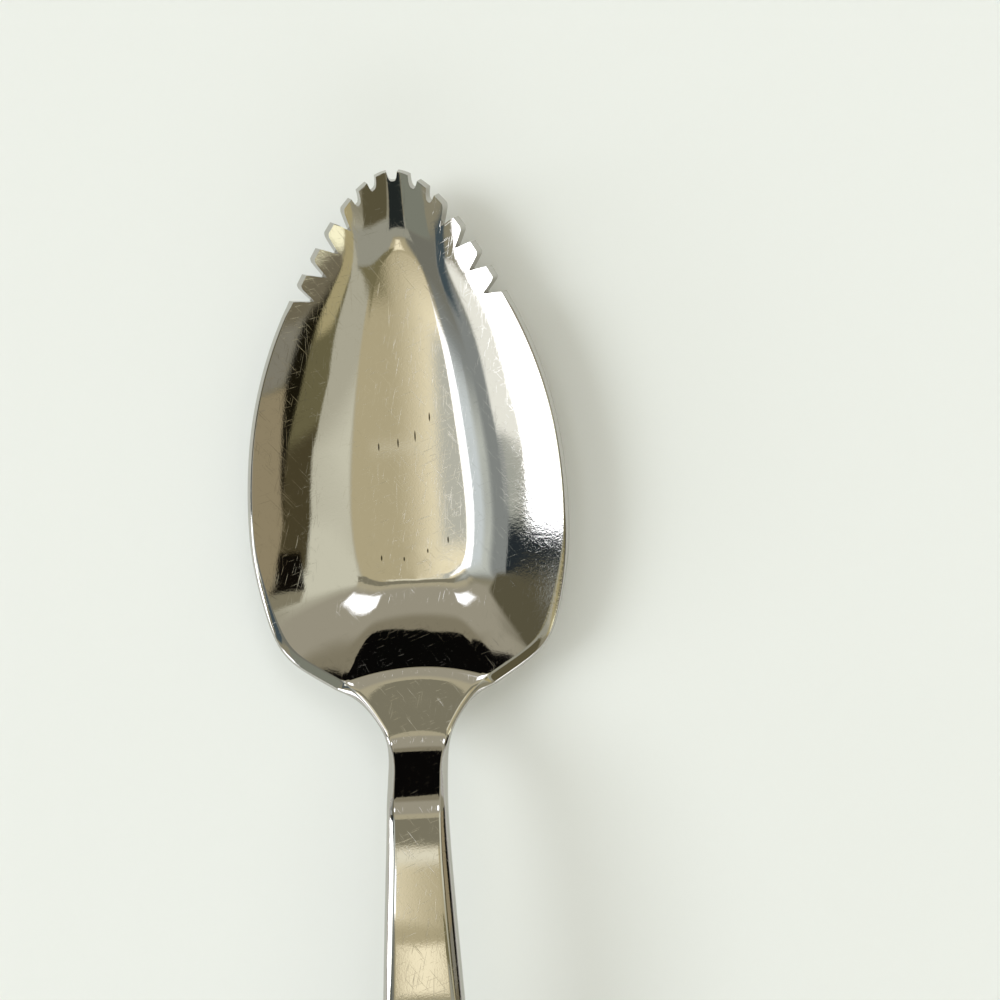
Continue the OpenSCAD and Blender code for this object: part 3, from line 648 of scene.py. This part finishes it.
# Light: the sky over the table is a room drawn as soft-edged patches. A corner is written as (right, ahead),
# in degrees away from straight up, so that the steel shows each patch where it faces it. A patch's colour is
# the one that the steel shows, so its own glow is worked out below, and its corners go round a convex shape
room = {
    "colour": "#a8a48f", "strength": 1.15,
    "backdrop": "#dcdcd8", "backdropStrength": 0.9, "backdropFrom": 84, "backdropFade": 2,
    # softness in degrees, colour in the steel, times brighter and corners, the later patches in front
    "patches": [
        (6, "#c3c2be", 2.8, [(-120, -130), (120, -130), (75, -62), (-75, -62)]),
        (4, "#aba07f", 1, [(-12, -20), (14, -20), (20, 9), (-12, 9)]),
        (3, "#efe3c0", 1, [(-20, -5), (-6.2, -5), (-6.2, 6), (-20, 6)]),
        (1, "#f0e4c2", 1, [(-6.4, -18.5), (-3.8, -18.5), (-3.8, -10), (-6.4, -10)]),
        (3, "#a8a490", 1, [(12, -34), (60, -34), (60, 30), (12, 30)]),
        (3, "#c3c0ab", 1, [(14, -1.5), (60, -1.5), (60, 16), (14, 16)]),
        (2, "#a59d83", 1, [(-24, 12), (16, 12), (16, 24), (-24, 24)]),
        (1.4, "#d9d3bb", 1, [(-9, 3.8), (-2, 3.8), (-2, 6.6), (-9, 6.6)]),
        (0.8, "#787360", 1, [(-24, 6.7), (16, 6.7), (16, 13), (-24, 13)]),
        (0.8, "#645e42", 1, [(57, -27), (50, -19), (43.5, -8), (46, -3), (90, -3), (90, -27)]),
        (1, "#453e29", 1, [(46, -4), (53.5, 8), (90, 8), (90, -4)]),
        (0.8, "#7d7762", 1, [(54.5, 11), (90, 11), (90, 16.5), (56, 16.5)]),
        (1, "#a1966f", 1, [(56, -40), (50.5, -16), (57, -17), (62, -23.5), (64, -40)]),
        (0.8, "#f8f2cc", 1, [(61, -40), (61, -24.8), (68, -27), (70, -40)]),
        (0.8, "#17140a", 1, [(60, -24), (58, -10), (59.5, -1.5), (62.5, -1.5), (65, -24)]),
        (1, "#7c786a", 1, [(64.2, -23), (63.6, -12.5), (72, -11), (72, -23)]),
        (1.5, "#6a6350", 1, [(60.5, -27), (60, -22.5), (75, -21.5), (75, -27)]),
        (2, "#ffffff", 2, [(-110, -46), (-66, -38), (-52, -50), (-60, -64), (-110, -75)]),
        (0.6, "#0e0b07", 1, [(54.2, 4.5), (55, 12.5), (62.4, 12.5), (61.2, 4.5)]),
        (0.5, "#8b7f64", 1, [(60.2, -1.2), (61.2, 5), (62.6, 13), (72, 13), (72, -12), (63.2, -12)]),
        (1, "#1a1712", 1, [(72, -30), (72, 20), (90, 20), (90, -30)]),
        (5, "#80837f", 1, [(-60, -24), (-24, -24), (-18, 12), (-60, 12)]),
        (4, "#b8bbb1", 1, [(-42, -2), (-18, -2), (-18, 10), (-44, 10)]),
        (3, "#6e6d62", 1, [(-60, -28), (-14, -28), (-14, -7), (-44, -9)]),
        (0.8, "#b2b1a3", 1, [(-11, -2.5), (-7.7, -2.5), (-7.7, 6), (-11, 6)]),
        (4, "#c6cccb", 1, [(-34, -3), (-20, -3), (-20, 4), (-34, 4)]),
        (1.2, "#ffffff", 1.6, [(-22, -4), (-11.4, -4.5), (-11.4, 3), (-22, 3)]),
        (1, "#414c50", 1, [(-72, -30), (-62, -30), (-46, -12), (-52, -12.5), (-64, -20)]),
        (1.2, "#e6e4d8", 1, [(-72, -20), (-63, -20), (-54, -4), (-54, -1.8), (-68, -1.8)]),
        (1, "#9d9f94", 1, [(-66, -1.8), (-57, -1.8), (-57, 0.5), (-66, 0.5)]),
        (2, "#7b7b74", 1, [(-90, 12), (-66, 12), (-40, 60), (-90, 60)]),
        (0.9, "#ffffff", 3.6, [(-110, -45), (-77, -30), (-72, -20), (-68, -8), (-67.5, 0), (-110, 0)]),
        (0.6, "#94958f", 1, [(-90, 5), (-73.4, 5), (-73.4, 18), (-90, 18)]),
        (0.7, "#242a2d", 1, [(-80, -0.3), (-56, 1), (-56.5, 10), (-73, 10), (-80, 5)]),
        (1.5, "#55503d", 1, [(-50, 9.5), (-33, 34), (-33, 56), (-52, 56), (-64, 34), (-71, 21),
         (-74, 9.5)]),
        (1, "#918f80", 1, [(56, -33), (44, -19), (0, -12), (-2, -33)]),
        (1, "#918f80", 1, [(-22, -33), (-22, -21), (0, -21), (0, -33)]),
        (1, "#6f684b", 1, [(24, -11.5), (2, -4.8), (-3.5, -4.8), (-3.5, -12), (0, -13), (44, -20)]),
        (1.2, "#56503a", 1, [(8, -60), (50, -60), (44, -33), (12, -33)]),
        (1, "#222624", 1, [(-17, -27), (6, -27), (10, -60), (-33, -60)]),
        (1, "#77796c", 1, [(-52, -27), (-19, -27), (-34, -60), (-60, -60)]),
        (4, "#958f7d", 1, [(-40, 20), (60, 20), (60, 90), (-40, 90)]),
        (4, "#7d7662", 1, [(-32, 58), (34, 58), (34, 90), (-32, 90)]),
        (3, "#ffffff", 2, [(0, 28), (18, 26), (24, 33), (19, 42), (0, 41)]),
        (3, "#ffffff", 2, [(-14, 29), (-24, 28), (-28, 33), (-25, 38), (-14, 38)]),
        (0.6, "#080706", 1, [(-22, 71.5), (12, 68.5), (12, 120), (-22, 120)]),
        (0.6, "#080706", 1, [(0, 69.5), (17, 64.5), (30, 63), (50, 100), (0, 120)]),
        (0.6, "#080706", 1, [(-12, 66), (-30, 60.2), (-36, 61.5), (-44, 100), (-10, 120), (-4, 70)]),
    ],
}
world = bpy.data.worlds.new("room")
bpy.context.scene.world = world
world.use_nodes = True
tree = world.node_tree
tree.nodes.clear()
direction = addNode(tree, "ShaderNodeTexCoord").outputs["Generated"]
height = addNode(tree, "ShaderNodeSeparateXYZ", links={"Vector": direction}).outputs["Z"]
flat = addNode(tree, "ShaderNodeVectorMath", {"operation": "MULTIPLY", 1: (1, 1, 0)}, {0: direction})
aside = addNode(tree, "ShaderNodeVectorMath", {"operation": "NORMALIZE"}, {0: flat.outputs[0]}).outputs[0]
tilt = addNode(tree, "ShaderNodeMath", {"operation": "ARCCOSINE"}, {0: height}).outputs[0]
degrees = addNode(tree, "ShaderNodeMath", {"operation": "DEGREES"}, {0: tilt}).outputs[0]
spread = addNode(tree, "ShaderNodeVectorMath", {"operation": "SCALE"},
                 {0: aside, "Scale": degrees}).outputs[0]
# A third coordinate of 1 lets one dot product give the distance from an edge
here = addNode(tree, "ShaderNodeVectorMath", {"operation": "ADD", 1: (0, 0, 1)}, {0: spread}).outputs[0]


# 1 inside the patch and 0 outside, with a soft edge: the least of the distances from its sides
def patchMask(corners, softness):
    points = [np.array(c, float) for c in corners]
    pairs = list(zip(points, points[1:] + points[:1]))
    if sum(a[0] * b[1] - b[0] * a[1] for a, b in pairs) < 0:
        points.reverse()
        pairs = list(zip(points, points[1:] + points[:1]))
    inside = None
    for a, b in pairs:
        normal = np.array([a[1] - b[1], b[0] - a[0]]) / np.linalg.norm(b - a)
        edge = addNode(tree, "ShaderNodeVectorMath",
                       {"operation": "DOT_PRODUCT", 1: (normal[0], normal[1], -normal @ a)},
                       {0: here}).outputs["Value"]
        if inside is not None:
            edge = addNode(tree, "ShaderNodeMath", {"operation": "MINIMUM"}, {0: inside, 1: edge}).outputs[0]
        inside = edge
    return addNode(tree, "ShaderNodeMapRange",
                   {"interpolation_type": "SMOOTHSTEP", "From Min": -softness, "From Max": softness},
                   {"Value": inside}).outputs["Result"]


def glow(colour, times):
    return tuple(v * times for v in linear(colour)[:3]) + (1,)


# Light that the steel turns into the colour shown: the metal takes its own tint out of what it mirrors
def steelGlow(shown, times):
    tints = linear(steel["colour"])[:3]
    return tuple(v / tint / room["strength"] for v, tint in zip(glow(shown, times), tints)) + (1,)


low = addNode(tree, "ShaderNodeMapRange",
              {"interpolation_type": "SMOOTHSTEP", "From Min": room["backdropFrom"] - room["backdropFade"],
               "From Max": room["backdropFrom"] + room["backdropFade"]}, {"Value": degrees}).outputs["Result"]
# Looked at past the table, the room is that plain pale backdrop all the way up
seen = addNode(tree, "ShaderNodeLightPath").outputs["Is Camera Ray"]
plain = addNode(tree, "ShaderNodeMath", {"operation": "MAXIMUM"}, {0: low, 1: seen}).outputs[0]
layers = [(patchMask(corners, softness), steelGlow(shown, times))
          for softness, shown, times, corners in room["patches"]]
layers.append((plain, glow(room["backdrop"], room["backdropStrength"])))
colour = None
for mask, light in layers:
    colour = addNode(tree, "ShaderNodeMix", {"data_type": "RGBA", 6: linear(room["colour"]), 7: light},
                     {0: mask} if colour is None else {0: mask, 6: colour}).outputs[2]
background = addNode(tree, "ShaderNodeBackground", {"Strength": room["strength"]}, {"Color": colour})
addNode(tree, "ShaderNodeOutputWorld", links={"Surface": background.outputs["Background"]})

# Daylight from a broad window on the left, which gives the table its shade on the right
daylight = {"from": (-4, 0, 3), "spread": 29, "colour": "#eaeff1", "strength": 1.9}  # metres, degrees
lampData = bpy.data.lights.new("daylight", "SUN")
lampData.angle = math.radians(daylight["spread"])
lampData.color = linear(daylight["colour"])[:3]
lampData.energy = daylight["strength"]
lamp = bpy.data.objects.new("daylight", lampData)
lamp.location = daylight["from"]
lamp.rotation_euler = lamp.location.to_track_quat("Z", "Y").to_euler()
lamp.visible_glossy = False  # the steel already mirrors the room's own window
bpy.context.scene.collection.objects.link(lamp)

# Camera, as in the photograph: just right of the bowl, looking straight down
camera = {
    "x": 8.62, "fromTip": 31.55, "height": 100, "turn": 2.82,
    "pixelsPerMm": 10.75, "scaleHeight": 6.0,  # the scale holds at the height of the rim
    "frameWidth": 1000, "sensor": 36, "clipFrom": 1,
}
cameraData = bpy.data.cameras.new("camera")
cameraData.sensor_width = camera["sensor"]
reach = camera["height"] - camera["scaleHeight"]
cameraData.lens = camera["pixelsPerMm"] * reach / camera["frameWidth"] * camera["sensor"]
cameraData.clip_start = camera["clipFrom"] * mm
cameraObject = bpy.data.objects.new("camera", cameraData)
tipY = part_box("bowl")[1].y
cameraObject.location = (camera["x"] * mm, tipY - camera["fromTip"] * mm, camera["height"] * mm)
cameraObject.rotation_euler = Euler((0, 0, math.radians(-camera["turn"])))
bpy.context.scene.collection.objects.link(cameraObject)
bpy.context.scene.camera = cameraObject
bpy.context.scene.view_settings.view_transform = "Standard"
print("stage set")
